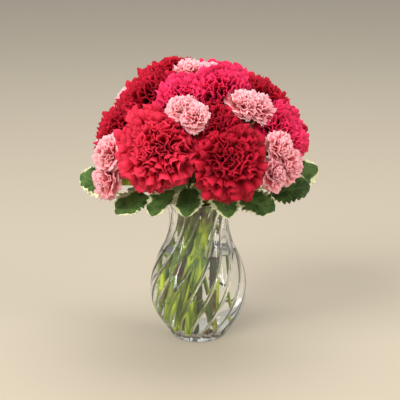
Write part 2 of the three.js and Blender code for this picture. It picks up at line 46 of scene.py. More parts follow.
# Camera, at the photograph's angle
cameraPlace = {"elevation": 14, "distance": 1350, "target": (1.3, 0, 142), "lens": 121.5, "nearest": 50}


def addCamera():
    tilt = math.radians(cameraPlace["elevation"])
    away = Vector((0, -math.cos(tilt), math.sin(tilt)))
    place = (Vector(cameraPlace["target"]) + away * cameraPlace["distance"]) * mm
    bpy.ops.object.camera_add(location=place, rotation=(math.pi / 2 - tilt, 0, 0))
    camera = bpy.context.object
    camera.data.lens = cameraPlace["lens"]
    camera.data.clip_start = cameraPlace["nearest"] * mm
    bpy.context.scene.camera = camera


addCamera()


# Shader sums: a wire is the output of a node, and a sum on wires adds the Math nodes for it
class Wire:
    def __init__(self, tree, socket=None):
        self.tree = tree
        self.socket = socket

    def node(self, kind, settings=None, inputs=None, output=0):
        made = self.tree.nodes.new("ShaderNode" + kind)
        for name, value in (settings or {}).items():
            if name == "stops":
                setStops(made.color_ramp, value)
            else:
                setattr(made, name, value)
        for name, value in (inputs or {}).items():
            if isinstance(value, Wire):
                self.tree.links.new(value.socket, made.inputs[name])
            else:
                made.inputs[name].default_value = value
        return Wire(self.tree, made.outputs[output])

    def math(self, operation, a, b=0.0):
        return self.node("Math", {"operation": operation}, {0: a, 1: b})

    def __add__(self, other):
        return self.math("ADD", self, other)

    __radd__ = __add__

    def __sub__(self, other):
        return self.math("SUBTRACT", self, other)

    def __mul__(self, other):
        return self.math("MULTIPLY", self, other)

    __rmul__ = __mul__

    def sine(self):
        return self.math("SINE", self)

    def size(self):
        return self.math("ABSOLUTE", self)

    def between(self, low, high, start=0.0, end=1.0):
        settings = {"interpolation_type": "SMOOTHSTEP"}
        inputs = {"Value": self, "From Min": low, "From Max": high, "To Min": start, "To Max": end}
        return self.node("MapRange", settings, inputs)

    def mixed(self, a, b):
        return self.node("Mix", {"data_type": "RGBA"}, {0: self, 6: a, 7: b}, output=2)

    def multiplied(self, tint):
        settings = {"data_type": "RGBA", "blend_type": "MULTIPLY"}
        return self.node("Mix", settings, {0: 1.0, 6: self, 7: tint}, output=2)


def setStops(ramp, stops):
    while len(ramp.elements) < len(stops):
        ramp.elements.new(0.5)
    for element, (place, colour) in zip(ramp.elements, stops):
        element.position = place
        element.color = colour


def newMaterial(name):
    material = bpy.data.materials.new(name)
    material.use_nodes = True
    material.node_tree.nodes.clear()
    return material, Wire(material.node_tree)


def finishMaterial(material, shader):
    out = material.node_tree.nodes.new("ShaderNodeOutputMaterial")
    material.node_tree.links.new(shader.socket, out.inputs["Surface"])
    return material


def noise(graph, coordinates, scale, detail=2.0, roughness=0.5):
    inputs = {"Vector": coordinates, "Scale": scale, "Detail": detail, "Roughness": roughness}
    return graph.node("TexNoise", {"noise_dimensions": "3D"}, inputs)


def stretched(graph, coordinates, scale):
    return graph.node("Mapping", {}, {"Vector": coordinates, "Scale": scale})


def placeIn(graph):
    return graph.node("TexCoord", {}, {}, output=3)


# The share that each petal, stem or leaf drew by chance
def lotIn(graph):
    return graph.node("Attribute", {"attribute_name": "lot"}, {}, output=2)


# A UV map, and how far across and along it a point lies
def uvIn(graph, name):
    uv = graph.node("UVMap", {"uv_map": name})
    across = graph.node("SeparateXYZ", {}, {0: uv})
    return uv, across, Wire(graph.tree, across.socket.node.outputs[1])


def colour(red, green, blue):
    return (red, green, blue, 1.0)


# Petal finish: darker at the claw with a painted shade that stands in for the shade in the bloom's crowded
# heart, brighter towards a paler frilled rim that is partly the petal's own colour and partly a painted
# highlight, with fine veins
petalFinish = {
    "red": {
        "clawShade": colour(0.085, 0.0, 0.009),
        "face": colour(0.33, 0.003, 0.016),
        "rim": colour(0.56, 0.012, 0.04),
        "through": colour(0.7, 0.008, 0.03),
        "streak": 0.16,
        "shades": (0.68, 1.14),
        "glow": 0.3,
    },
    "rose": {
        "clawShade": colour(0.22, 0.0, 0.022),
        "face": colour(0.5, 0.007, 0.03),
        "rim": colour(0.78, 0.04, 0.09),
        "through": colour(0.82, 0.02, 0.06),
        "streak": 0.2,
        "shades": (0.68, 1.14),
        "glow": 0.3,
    },
    "cerise": {
        "clawShade": colour(0.24, 0.0, 0.04),
        "face": colour(0.58, 0.009, 0.065),
        "rim": colour(0.88, 0.045, 0.16),
        "through": colour(0.95, 0.03, 0.12),
        "streak": 0.2,
        "shades": (0.7, 1.12),
        "glow": 0.3,
    },
    "pink": {
        "clawShade": colour(1.0, 0.27, 0.29),
        "face": colour(1.0, 0.42, 0.46),
        "rim": colour(1.0, 0.74, 0.78),
        "through": colour(1.0, 0.62, 0.65),
        "streak": 0.7,
        "shades": (0.95, 1.06),
        "glow": 0.52,
    },
}


# Its grain: scales of the noises, the ribs' count and lengths in metres
petalGrain = {
    "veins": (34.0, 2.2, 1.0),
    "blotches": 90.0,
    "fine": 1500.0,
    "ribs": 150.0,
    "heart": (0.25, 0.85),  # where along a petal its painted claw shade ends
    "frill": (0.8, 1.0),  # where its paler rim, partly a painted highlight, begins
    "relief": 0.35,
    "depth": 0.0006,
    "sheen": 0.18,
}


def petalMaterial(name, tints):
    material, graph = newMaterial("petal_" + name)
    uv, across, along = uvIn(graph, "petal")
    lot = lotIn(graph)
    place = placeIn(graph)
    blotches = noise(graph, place, petalGrain["blotches"], 3.0)
    veins = noise(graph, stretched(graph, uv, petalGrain["veins"]), 1.0, 3.0, 0.6)
    # Painted shade: the colour darkens towards each petal's claw, where shade falls inside the bloom
    body = along.between(*petalGrain["heart"]).mixed(tints["clawShade"], tints["face"])
    # Partly painted highlight: the rim colour is partly the petal's own paler edge and partly a painted
    # highlight along the frills
    edge = (along + (veins - 0.5) * tints["streak"]).between(*petalGrain["frill"]) * (0.5 + 0.5 * lot)
    rimmed = edge.mixed(body, tints["rim"])
    shade = 0.42 + 0.5 * lot + 0.9 * (blotches - 0.5) + 0.5 * (veins - 0.5)
    shade = shade.between(0.1, 0.95, *tints["shades"])
    painted = rimmed.multiplied(graph.node("CombineColor", {}, {0: shade, 1: shade, 2: shade}))
    fine = noise(graph, place, petalGrain["fine"], 2.0)
    ribs = (across * petalGrain["ribs"] + 6.0 * (blotches - 0.5)).sine() * 0.35 + veins
    relief = {"Strength": petalGrain["relief"], "Distance": petalGrain["depth"], "Height": ribs + fine * 0.4}
    bump = graph.node("Bump", {}, relief)
    surface = {
        "Base Color": painted,
        "Roughness": 0.58 + 0.18 * veins,
        "Sheen Weight": petalGrain["sheen"],
        "Sheen Roughness": 0.45,
        "Sheen Tint": tints["rim"],
        "Specular IOR Level": 0.35,
        "Normal": bump,
    }
    front = graph.node("BsdfPrincipled", {}, surface)
    through = graph.node("BsdfTranslucent", {}, {"Color": tints["through"], "Normal": bump})
    return finishMaterial(material, graph.node("MixShader", {}, {0: tints["glow"], 1: front, 2: through}))


petalMaterials = {name: petalMaterial(name, tints) for name, tints in petalFinish.items()}


# Blooms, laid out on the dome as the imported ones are: azimuth from the front, tilt from the vertical,
# the bloom's own radius, and the reach from the dome's centre to its middle
dome = {"centre": (0, 0, 177), "topTilt": 84, "axisShare": 0.97, "floor": 151.5}
carnations = {
    "rose_1": (-26, 67, 50, 88),
    "rose_2": (114, 70, 44, 88),
    "red_1": (20, 74, 44, 87),
    "red_2": (-64, 35, 41, 87),
    "red_3": (-78, 66, 40, 83),
    "red_4": (14, 52, 36, 84),
    "red_5": (86, 44, 41, 86),
    "red_6": (-114, 21, 39, 88),
    "red_7": (168, 62, 45, 87),
    "cerise_1": (-17, 34, 39, 86),
    "cerise_2": (33, 27, 42, 87),
    "cerise_3": (67, 63, 44, 88),
    "cerise_4": (-138, 60, 45, 87),
    "cerise_5": (142, 28, 42, 83),
}
sprays = [
    [(-70, 6, 21, 92), (50, 8, 20, 91)],
    [(-12, 46, 18, 98), (-3, 51, 18, 99)],
    [(36, 44, 20, 97), (50, 48, 20, 97)],
    [(52, 72, 20, 99), (57, 82, 24, 97), (46, 86, 20, 96)],
    [(-60, 77, 23, 98), (-61, 92, 22, 97)],
    [(-106, 49, 23, 91), (-113, 80, 24, 94)],
    [(142, 82, 25, 96), (-168, 84, 25, 95)],
]

# A bloom's petals in rings from the guard petals to the heart: how many, the polar angle of their rims from
# the bloom's axis, their half width and their ruffle as shares of the bloom's radius, and waves across one
largeBloom = {
    "seatDrop": 14,
    "flatness": 0.56,
    "calyxLength": 25,
    "calyxRadius": 7.2,
    "grid": (5, 8),
    "splits": (-0.2, 0.3, 0.6),
    "thickness": 0.3,
    "tooth": 2.1,
    "rings": [
        (8, 100, 0.57, 0.085, 2.0),
        (8, 84, 0.53, 0.09, 2.2),
        (8, 66, 0.48, 0.095, 2.4),
        (7, 50, 0.46, 0.1, 2.5),
        (7, 36, 0.4, 0.1, 2.9),
        (6, 22, 0.36, 0.11, 3.2),
        (4, 8, 0.32, 0.11, 3.2),
    ],
}
smallBloom = {
    "seatDrop": 10,
    "flatness": 0.75,
    "calyxLength": 17,
    "calyxRadius": 4.8,
    "grid": (4, 6),
    "splits": (-0.1, 0.4),
    "thickness": 0.25,
    "tooth": 1.9,
    "rings": [
        (6, 95, 0.7, 0.06, 1.1),
        (6, 70, 0.62, 0.08, 1.4),
        (6, 48, 0.52, 0.1, 1.8),
        (5, 28, 0.42, 0.12, 2.2),
        (3, 9, 0.34, 0.12, 2.2),
    ],
}
pressing = {"firmness": 11, "leastShare": 0.36, "stalkReach": 1.3, "interleave": (1.02, 1.28)}


def direction(azimuth, tilt):
    a, t = math.radians(azimuth), math.radians(tilt)
    return np.array([math.sin(t) * math.sin(a), -math.sin(t) * math.cos(a), math.cos(t)])


def around(azimuth, radius, height):
    return direction(azimuth, 90) * radius + np.array([0, 0, height])


def unit(vector):
    return vector / np.linalg.norm(vector)


def siteOf(head):
    return np.array(dome["centre"]) + direction(head[0], head[1]) * head[3]


def axisOf(head):
    return direction(head[0], min(head[1], dome["topTilt"]) * dome["axisShare"])


def seatOf(head, kind):
    return siteOf(head) - axisOf(head) * kind["seatDrop"]


allHeads = [(head, largeBloom) for head in carnations.values()]
allHeads += [(head, smallBloom) for heads in sprays for head in heads]


# Planes that part a bloom from its neighbours, from their stalks and from the leaves below
def wallsOf(head):
    site = siteOf(head)
    walls = [(np.array([0, 0, -1.0]), site[2] - dome["floor"])]
    for other, kind in allHeads:
        if other is head:
            continue
        away = siteOf(other) - site
        apart = np.linalg.norm(away)
        share = 0.5 + (head[2] ** 2 - other[2] ** 2) / (2 * apart**2)
        share = min(max(share, pressing["leastShare"]), 1 - pressing["leastShare"])
        walls.append((away / apart, share * apart))
        seat = seatOf(other, kind)
        down = -axisOf(other) * pressing["stalkReach"] * kind["calyxLength"]
        along = np.clip(np.dot(site - seat, down) / np.dot(down, down), 0, 1)
        beside = seat + along * down - site
        room = np.linalg.norm(beside) - kind["calyxRadius"]
        if room < head[2]:
            walls.append((unit(beside), room))
    return walls


# Draws points in towards the bloom's middle, so that the petals press flat against their neighbours
def press(points, site, walls, room):
    out = points - site
    length = np.maximum(np.linalg.norm(out, axis=1), 1e-3)
    out = out / length[:, None]
    firmness = pressing["firmness"]
    total = length**-firmness
    for normal, distance in walls:
        total += (np.maximum(0, out @ normal) / (distance * room)) ** firmness
    return site + out * (total ** (-1 / firmness))[:, None]


# One petal as cut out flat: few columns at the claw and many at the rim, across and along from -1 to 1
def petalBlank(kind):
    columns, rows = kind["grid"]
    bpy.ops.mesh.primitive_grid_add(x_subdivisions=columns, y_subdivisions=rows, size=2)
    blank = bpy.context.object
    bpy.ops.object.mode_set(mode="EDIT")
    bpy.ops.mesh.select_mode(type="EDGE")
    for limit in kind["splits"]:
        mesh = bmesh.from_edit_mesh(blank.data)
        for edge in mesh.edges:
            a, b = (v.co.y for v in edge.verts)
            edge.select = abs(a - b) < 1e-5 and a > limit  # the rows beyond it
        bmesh.update_edit_mesh(blank.data)
        bpy.ops.mesh.subdivide(number_cuts=1, ngon=False)
    bpy.ops.object.mode_set(mode="OBJECT")
    points = np.array([v.co[:2] for v in blank.data.vertices])
    faces = [list(p.vertices) for p in blank.data.polygons]
    bpy.data.objects.remove(blank)
    widest = columns * 2 ** len(kind["splits"])
    tooth = np.round((points[:, 0] + 1) / 2 * widest).astype(int) % 2
    return {"across": points[:, 0], "along": (points[:, 1] + 1) / 2, "tooth": tooth, "faces": faces}


def bezier(t, a, b, c):
    return (1 - t) ** 2 * a + 2 * t * (1 - t) * b + t**2 * c


def bezierSlope(t, a, b, c):
    return 2 * (1 - t) * (b - a) + 2 * t * (c - b)


# How a petal is shaped. Pairs named after a draw are its least and its most, and lengths are shares of the
# bloom's radius, or of the calyx's where the claw starts
petalShape = {
    "sway": 9,
    "spread": 0.18,  # of the step to the next petal
    "reach": (0.9, 1.03),
    "guardLoss": 0.07 / 0.17,  # a petal that folds back is shorter
    "corners": 0.16,  # how much lower its rim is at the corners
    "rimWaves": [(0.035, 5), (0.02, 11)],  # how high and how often
    "nick": (0.3, 1),
    "nickPower": 1.5,
    "claw": (0.12, 0.3),  # for an upright petal, and what a leaning one adds
    "turnOut": (0.05, 0.2),
    "turnUp": (0.13, 0.12),
    "clawWidth": 0.07,
    "clawEnd": 0.12,
    "widening": 1.15,
    "width": (0.88, 1.12),
    "frillStart": 0.3,
    "frillGrowth": 1.3,
    "frill": (0.6, 1.4),
    "waves": (0.85, 1.15),
    "waveDrift": 0.8,
    "crimp": (0.4, 2.3),  # how high and how often against the main waves
    "fineCrimp": (0.22, 4.1),
    "pinch": 0.45,
    "cup": (-0.06, 0.1),
    "crease": (-0.5, 1),
    "creaseDepth": 0.1,
    "creasePlace": 0.3,
    "creaseWidth": 0.16,
    "roundness": 0.35,
}


# Where a petal's middle line starts, turns and ends, as outwards and along the bloom's axis
def middleLine(kind, radius, reach, polar):
    lean, rise = math.sin(polar), 0.5 + 0.5 * math.cos(polar)
    claw, out, up = petalShape["claw"], petalShape["turnOut"], petalShape["turnUp"]
    start = (kind["calyxRadius"] * (claw[0] + claw[1] * lean), 1 - kind["seatDrop"])
    turn = (radius * (out[0] + out[1] * lean), radius * (up[0] + up[1] * rise))
    rim = (reach * lean, reach * kind["flatness"] * math.cos(polar))
    return start, turn, rim


# The petal's points in the bloom's frame: outwards at its own azimuth, sideways, and along the axis
def shapePetal(blank, kind, radius, ring, random):
    _, polar, halfWidth, ruffle, waves = ring
    shape = petalShape
    u, v = blank["across"], blank["along"]
    polar = math.radians(polar + random.uniform(-shape["sway"], shape["sway"]))
    reach = radius * random.uniform(*shape["reach"]) * (1 - shape["guardLoss"] * max(0, -math.cos(polar)))
    outline = 1 - shape["corners"] * u**2
    for high, often in shape["rimWaves"]:
        outline = outline + high * np.sin(often * u + random.uniform(0, 6))
    nicks = random.uniform(*shape["nick"], len(u)) ** shape["nickPower"]
    nicks = nicks * blank["tooth"] * kind["tooth"] / reach
    t = v * outline - np.where(v > 0.99, nicks, 0)
    start, turn, rim = middleLine(kind, radius, reach, polar)
    outwards = bezier(t, start[0], turn[0], rim[0])
    height = bezier(t, start[1], turn[1], rim[1])
    slope = np.stack([bezierSlope(t, start[i], turn[i], rim[i]) for i in (0, 1)], axis=1)
    slope /= np.linalg.norm(slope, axis=1)[:, None]
    opened = np.clip((v - shape["clawEnd"]) / (1 - shape["clawEnd"]), 0, 1) ** shape["widening"]
    opening = shape["clawWidth"] + (1 - shape["clawWidth"]) * opened
    wide = radius * halfWidth * random.uniform(*shape["width"]) * opening
    frilled = np.clip((v - shape["frillStart"]) / (1 - shape["frillStart"]), 0, 1) ** shape["frillGrowth"]
    frill = frilled * radius * ruffle * random.uniform(*shape["frill"])
    phase = math.pi * waves * random.uniform(*shape["waves"]) * u + random.uniform(0, 6.3)
    phase = phase + shape["waveDrift"] * v
    crimp, fineCrimp = shape["crimp"], shape["fineCrimp"]
    fold = np.sin(phase) + crimp[0] * np.sin(crimp[1] * phase + random.uniform(0, 6))
    fold = fold + fineCrimp[0] * np.sin(fineCrimp[1] * phase + 2)
    cup = random.uniform(*shape["cup"]) * radius * u**2 * v
    depth = random.uniform(*shape["crease"]) * shape["creaseDepth"] * radius
    beside = u - random.uniform(-shape["creasePlace"], shape["creasePlace"])
    crease = depth * np.exp(-((beside / shape["creaseWidth"]) ** 2)) * v**2
    lift = frill * fold + cup - crease
    sideways = u * wide - shape["pinch"] * frill * np.sin(2 * phase)
    middle = shape["roundness"] * radius
    bend = outwards + middle
    angle = sideways / bend
    out = bend * np.cos(angle) - middle - slope[:, 1] * lift
    side = bend * np.sin(angle)
    return np.stack([out, side, height + slope[:, 0] * lift], axis=1)


def addMesh(name, points, faces, material):
    mesh = bpy.data.meshes.new(name)
    mesh.from_pydata([tuple(p) for p in points], [], faces)
    mesh.materials.append(material)
    piece = bpy.data.objects.new(name, mesh)
    bpy.context.scene.collection.objects.link(piece)
    return piece


def makeActive(piece):
    bpy.ops.object.select_all(action="DESELECT")
    piece.select_set(True)
    bpy.context.view_layer.objects.active = piece


def applied(piece, kind, **settings):
    makeActive(piece)
    modifier = piece.modifiers.new(kind.lower(), kind)
    for name, value in settings.items():
        setattr(modifier, name, value)
    bpy.ops.object.modifier_apply(modifier=modifier.name)


def putUv(mesh, name, pairs):
    layer = mesh.uv_layers.new(name=name)
    corners = np.zeros(len(mesh.loops), dtype=np.int32)
    mesh.loops.foreach_get("vertex_index", corners)
    layer.data.foreach_set("uv", pairs[corners].astype(np.float32).ravel())


def putLot(mesh, shares):
    lot = mesh.attributes.new("lot", "FLOAT", "POINT")
    lot.data.foreach_set("value", shares.astype(np.float32))


def smooth(piece):
    makeActive(piece)
    bpy.ops.object.shade_smooth()


def makeBloom(name, head, kind, blank, material, seed):
    random = np.random.default_rng(seed)
    site, axis = siteOf(head), axisOf(head)
    side = unit(np.cross([0, 0, 1], axis))
    up = np.cross(axis, side)
    walls = wallsOf(head)
    points, pairs, lots, faces = [], [], [], []
    for ring in kind["rings"]:
        turn = random.uniform(0, 360)
        for k in range(ring[0]):
            drawn = random.uniform(-petalShape["spread"], petalShape["spread"])
            azimuth = math.radians(turn + 360 * (k + drawn) / ring[0])
            local = shapePetal(blank, kind, head[2], ring, random)
            outward = side * math.cos(azimuth) + up * math.sin(azimuth)
            sideways = np.cross(axis, outward)
            offset = sum(len(p) for p in points)
            world = site + local[:, :1] * outward + local[:, 1:2] * sideways + local[:, 2:] * axis
            points.append(press(world, site, walls, random.uniform(*pressing["interleave"])))
            pairs.append(np.stack([(blank["across"] + 1) / 2, blank["along"]], axis=1))
            lots.append(np.full(len(world), random.uniform(0, 1)))
            faces += [[i + offset for i in face] for face in blank["faces"]]
    piece = addMesh(name, np.concatenate(points) * mm, faces, material)
    putUv(piece.data, "petal", np.concatenate(pairs))
    putLot(piece.data, np.concatenate(lots))
    applied(piece, "SOLIDIFY", thickness=kind["thickness"] * mm, offset=0)
    smooth(piece)
    return piece


def dress(piece, slot, *nodes):
    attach(piece, "root")
    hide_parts(*nodes)


seeds = {"large": 100, "small": 300, "twig": 500, "stalk": 700, "sprayStalk": 800}
largeBlank = petalBlank(largeBloom)
smallBlank = petalBlank(smallBloom)
for i, (name, head) in enumerate(carnations.items()):
    tint = name.split("_")[0]
    seed = seeds["large"] + i
    piece = makeBloom(name + "_petals", head, largeBloom, largeBlank, petalMaterials[tint], seed)
    dress(piece, "petal_" + tint, name + "_bloom")
print("large blooms made")
for i, heads in enumerate(sprays):
    for j, head in enumerate(heads):
        name = f"spray_{i + 1}_petals_{j + 1}"
        seed = seeds["small"] + 5 * i + j
        piece = makeBloom(name, head, smallBloom, smallBlank, petalMaterials["pink"], seed)
        dress(piece, "petal_pink", f"spray_{i + 1}_bloom_{j + 1}")
print("small blooms made")


# Stems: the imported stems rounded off, with a toothed calyx under each bloom
stemFinish = {
    "fresh": colour(0.09, 0.165, 0.002),
    "pale": colour(0.5, 0.58, 0.025),
    "olive": colour(0.03, 0.05, 0.006),
    "brown": colour(0.1, 0.018, 0.004),
}


# Scales of its noises along X, Y and Z, and the heights in metres between which the painted shade under the
# blooms sets in
stemGrain = {
    "streaks": (260.0, 260.0, 14.0),
    "patches": (45.0, 45.0, 26.0),
    "shade": (0.135, 0.165),
    "depth": 0.0005,
}


def stemMaterial():
    material, graph = newMaterial("stem")
    place = placeIn(graph)
    lot = lotIn(graph)
    streaks = noise(graph, stretched(graph, place, stemGrain["streaks"]), 1.0, 4.0, 0.6)
    patches = noise(graph, stretched(graph, place, stemGrain["patches"]), 1.0, 2.0)
    height = graph.node("SeparateXYZ", {}, {0: place}, output=2)
    # Painted shade: above these heights the stems turn darker olive, standing in for the shade under the
    # blooms
    shaded = height.between(*stemGrain["shade"], 0.0, 0.5)
    green = streaks.between(0.36, 0.72).mixed(stemFinish["fresh"], stemFinish["pale"])
    # The olive is partly each stem's own tone, drawn by chance, and partly the painted shade under the blooms
    oliveAndBloomShade = (lot + 0.5 * (streaks - 0.5) + shaded).between(0.6, 1.05).mixed(green, stemFinish["olive"])
    mask = (patches + 0.25 * (streaks - 0.5) + 0.12 * lot).between(0.6, 0.69)
    painted = (mask * 0.85).mixed(oliveAndBloomShade, stemFinish["brown"])
    bump = graph.node("Bump", {}, {"Strength": 0.3, "Distance": stemGrain["depth"], "Height": streaks})
    surface = {"Base Color": painted, "Roughness": 0.42 + 0.2 * streaks, "Normal": bump}
    return finishMaterial(material, graph.node("BsdfPrincipled", {}, surface))


# The bundle of stems: it leans on its way down, those far out at +X less, and fans out with a twist
bundle = {"neckPlane": 130, "fan": 0.0085, "fanTurn": -102, "lean": (-0.13, 0), "ease": (6, 20)}
stem = {
    "swell": 0.55,
    "rounding": 2,
    "lowest": 7.5,  # just above the glass
    "footReach": 2,  # how far up from its lowest point the foot's middle is taken
    "neckReach": 3,  # and how far up and down from the neck's plane the neck's
    "knots": (12, 45, 115),  # lowest, spacing and highest
    "knotSpread": (0.7, 1.3),
    "knotSize": (1.3, 2.4),  # radius as a share of the stem's, and half its height
    "knotGrid": (12, 8),
    "room": 0.5,  # between a knot or a bract and the next stem
}
bractShape = {
    "chance": 0.6,
    "length": (9, 17),
    "width": 3.4,
    "lean": (14, 40),
    "rows": 7,
    "foot": 0.8,  # how far from the stem's middle, as a share of its radius
    "taper": 0.6,
    "tip": 0.08,
    "hollow": 0.5,
    "thickness": 0.5,
    "room": 1.0,  # more room than a stem needs, between two bracts
}


def roundedCopy(node, name, material):
    piece = bpy.data.objects.new(name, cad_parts[node].data.copy())
    bpy.context.scene.collection.objects.link(piece)
    piece.data.materials.clear()
    piece.data.materials.append(material)
    makeActive(piece)
    bpy.ops.object.mode_set(mode="EDIT")
    bpy.ops.mesh.select_all(action="SELECT")
    bpy.ops.mesh.remove_doubles(threshold=1e-5)
    bpy.ops.mesh.tris_convert_to_quads(face_threshold=math.radians(60), shape_threshold=math.radians(60))
    bpy.ops.transform.shrink_fatten(value=stem["swell"] * mm)
    bpy.ops.object.mode_set(mode="OBJECT")
    applied(piece, "SUBSURF", levels=stem["rounding"], render_levels=stem["rounding"])
    for vertex in piece.data.vertices:
        vertex.co.z = max(vertex.co.z, stem["lowest"] * mm)
    smooth(piece)
    return piece


# The lower stem's two ends and its radius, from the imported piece
def straightOf(node):
    points = np.array([v.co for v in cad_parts[node].data.vertices]) / mm
    low = points[points[:, 2] < points[:, 2].min() + stem["footReach"]].mean(axis=0)
    ring = points[np.abs(points[:, 2] - bundle["neckPlane"]) < stem["neckReach"]]
    high = ring.mean(axis=0)
    return low, high, np.linalg.norm(ring - high, axis=1).mean()


straights = {node: straightOf(node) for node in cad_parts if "stem" in node or "twig" in node}
placed = []  # the points of each bract so far, with its stem


# Whether points, each with a reach round it, lie clear of the other stems and of their bracts
def hasRoom(points, reach, node):
    least = reach + stem["room"]
    for other, (low, high, radius) in straights.items():
        up = unit(high - low)
        offsets = points - low
        apart = np.linalg.norm(offsets - np.outer(offsets @ up, up), axis=1).min()
        if other != node and apart < least + radius + stem["swell"]:
            return False
    for other, taken in placed:
        apart = np.linalg.norm(points[:, None] - taken[None], axis=2).min()
        if other != node and apart < least + bractShape["room"]:
            return False
    return True


# Swollen knots along a stem where it has room, some with a pair of short pointed bracts
def addKnots(node, material, random):
    low, high, radius = straights[node]
    up = unit(high - low)
    side = unit(np.cross(up, [0, 1, 0]))
    pieces = []
    first, spacing, last = stem["knots"]
    height = low[2] + first + random.uniform(0, spacing)
    while height < last:
        middle = low + up * (height - low[2]) / up[2]
        wide, tall = radius * stem["knotSize"][0], stem["knotSize"][1]
        if hasRoom(middle[None], wide, node):
            pieces.append(addKnot(middle, up, wide, tall, material))
        if random.uniform(0, 1) < bractShape["chance"]:
            azimuth = random.uniform(0, math.pi)
            for sign in (1, -1):
                out = (side * math.cos(azimuth) + np.cross(up, side) * math.sin(azimuth)) * sign
                pieces += addBract(middle, up, out, node, material, random)
        height += spacing * random.uniform(*stem["knotSpread"])
    return pieces


def addKnot(middle, up, wide, tall, material):
    segments, rings = stem["knotGrid"]
    bpy.ops.mesh.primitive_uv_sphere_add(segments=segments, ring_count=rings, radius=1)
    knot = bpy.context.object
    turn = Vector(up).to_track_quat("Z", "Y")
    for vertex in knot.data.vertices:
        x, y, z = vertex.co
        vertex.co = (Vector(middle) + turn @ Vector((x * wide, y * wide, z * tall))) * mm
    while knot.data.uv_layers:
        knot.data.uv_layers.remove(knot.data.uv_layers[0])
    knot.data.materials.append(material)
    smooth(knot)
    return knot


def addBract(middle, up, out, node, material, random):
    shape, rows = bractShape, bractShape["rows"]
    length = random.uniform(*shape["length"])
    lean = math.radians(random.uniform(*shape["lean"]))
    foot = middle + out * straights[node][2] * shape["foot"]
    across = np.cross(up, out)
    points = []
    for t in np.linspace(0, 1, rows):
        spine = foot + (up * math.cos(lean) + out * math.sin(lean) * t) * length * t
        half = shape["width"] / 2 * (1 - t) ** shape["taper"] + shape["tip"]
        for u in (-1, 0, 1):
            points.append(spine + across * half * u - out * shape["hollow"] * abs(u) * half)
    points = np.array(points)
    if not hasRoom(points, shape["thickness"] / 2, node):
        return []
    placed.append((node, points))
    faces = []
    for i in range(rows - 1):
        faces += [[3 * i + k, 3 * i + k + 1, 3 * i + k + 4, 3 * i + k + 3] for k in (0, 1)]
    piece = addMesh("bract", points * mm, faces, material)
    applied(piece, "SOLIDIFY", thickness=shape["thickness"] * mm, offset=0)
    smooth(piece)
    return [piece]


# A calyx: a tube that ends in five pointed teeth
calyxShape = {
    "columns": 40,
    "rows": 10,
    "teeth": 5,
    "profile": [(0, 0.62), (0.12, 0.86), (0.4, 0.95), (0.75, 0.98), (1.0, 1.06)],  # height, radius as shares
    "toothLength": 0.2,
    "notch": 0.1,
    "wall": 0.4,
}


def addCalyx(head, kind, material):
    seat, axis = seatOf(head, kind), axisOf(head)
    side = unit(np.cross([0, 0, 1], axis))
    up = np.cross(axis, side)
    rows, columns = calyxShape["rows"], calyxShape["columns"]
    heights, radii = zip(*calyxShape["profile"])
    points, faces = [], []
    for row in range(rows):
        for column in range(columns):
            angle = 2 * math.pi * column / columns
            point = abs((column * calyxShape["teeth"] / columns) % 1 - 0.5) * 2
            height = row / (rows - 1) * (1 + calyxShape["toothLength"] * (1 - point) - calyxShape["notch"])
            radius = kind["calyxRadius"] * np.interp(height, heights, radii)
            out = side * math.cos(angle) + up * math.sin(angle)
            points.append(seat + axis * (height - 1) * kind["calyxLength"] + radius * out)
    for row in range(rows - 1):
        for column in range(columns):
            here, beside = row * columns + column, row * columns + (column + 1) % columns
            faces.append([here, beside, beside + columns, here + columns])
    piece = addMesh("calyx", np.array(points) * mm, faces, material)
    applied(piece, "SOLIDIFY", thickness=calyxShape["wall"] * mm, offset=0)
    smooth(piece)
    return piece


def joined(pieces):
    bpy.ops.object.select_all(action="DESELECT")
    for piece in pieces:
        piece.select_set(True)
    bpy.context.view_layer.objects.active = pieces[0]
    bpy.ops.object.join()
    return pieces[0]


def makeStalk(name, node, heads, kind, material, seed):
    random = np.random.default_rng(seed)
    stalk = roundedCopy(node, name, material)
    calyxes = [addCalyx(head, kind, material) for head in heads]
    piece = joined([stalk, *addKnots(node, material, random), *calyxes])
    putLot(piece.data, random.uniform(0, 1, 1).repeat(len(piece.data.vertices)))
    dress(piece, "stem", node)


stemGreen = stemMaterial()
for i, (name, head) in enumerate(carnations.items()):
    makeStalk(name + "_stalk", name + "_stem", [head], largeBloom, stemGreen, seeds["stalk"] + i)
for i, heads in enumerate(sprays):
    name = f"spray_{i + 1}_stalks"
    makeStalk(name, f"spray_{i + 1}_stems", heads, smallBloom, stemGreen, seeds["sprayStalk"] + i)
print("stems made")


# Leaves: broad and toothed, dark green with an uneven cream margin
leafFinish = {
    "dark": colour(0.028, 0.07, 0.018),
    "green": colour(0.1, 0.19, 0.045),
    "light": colour(0.26, 0.36, 0.12),
    "cream": colour(0.85, 0.86, 0.5),
    "through": colour(0.12, 0.26, 0.03),
}


# Scales of its noises, the width of its mid vein, and the depth of its relief in metres
leafGrain = {"mottle": 130.0, "broad": 42.0, "midVein": 0.05, "relief": 0.5, "depth": 0.0006, "through": 0.12}


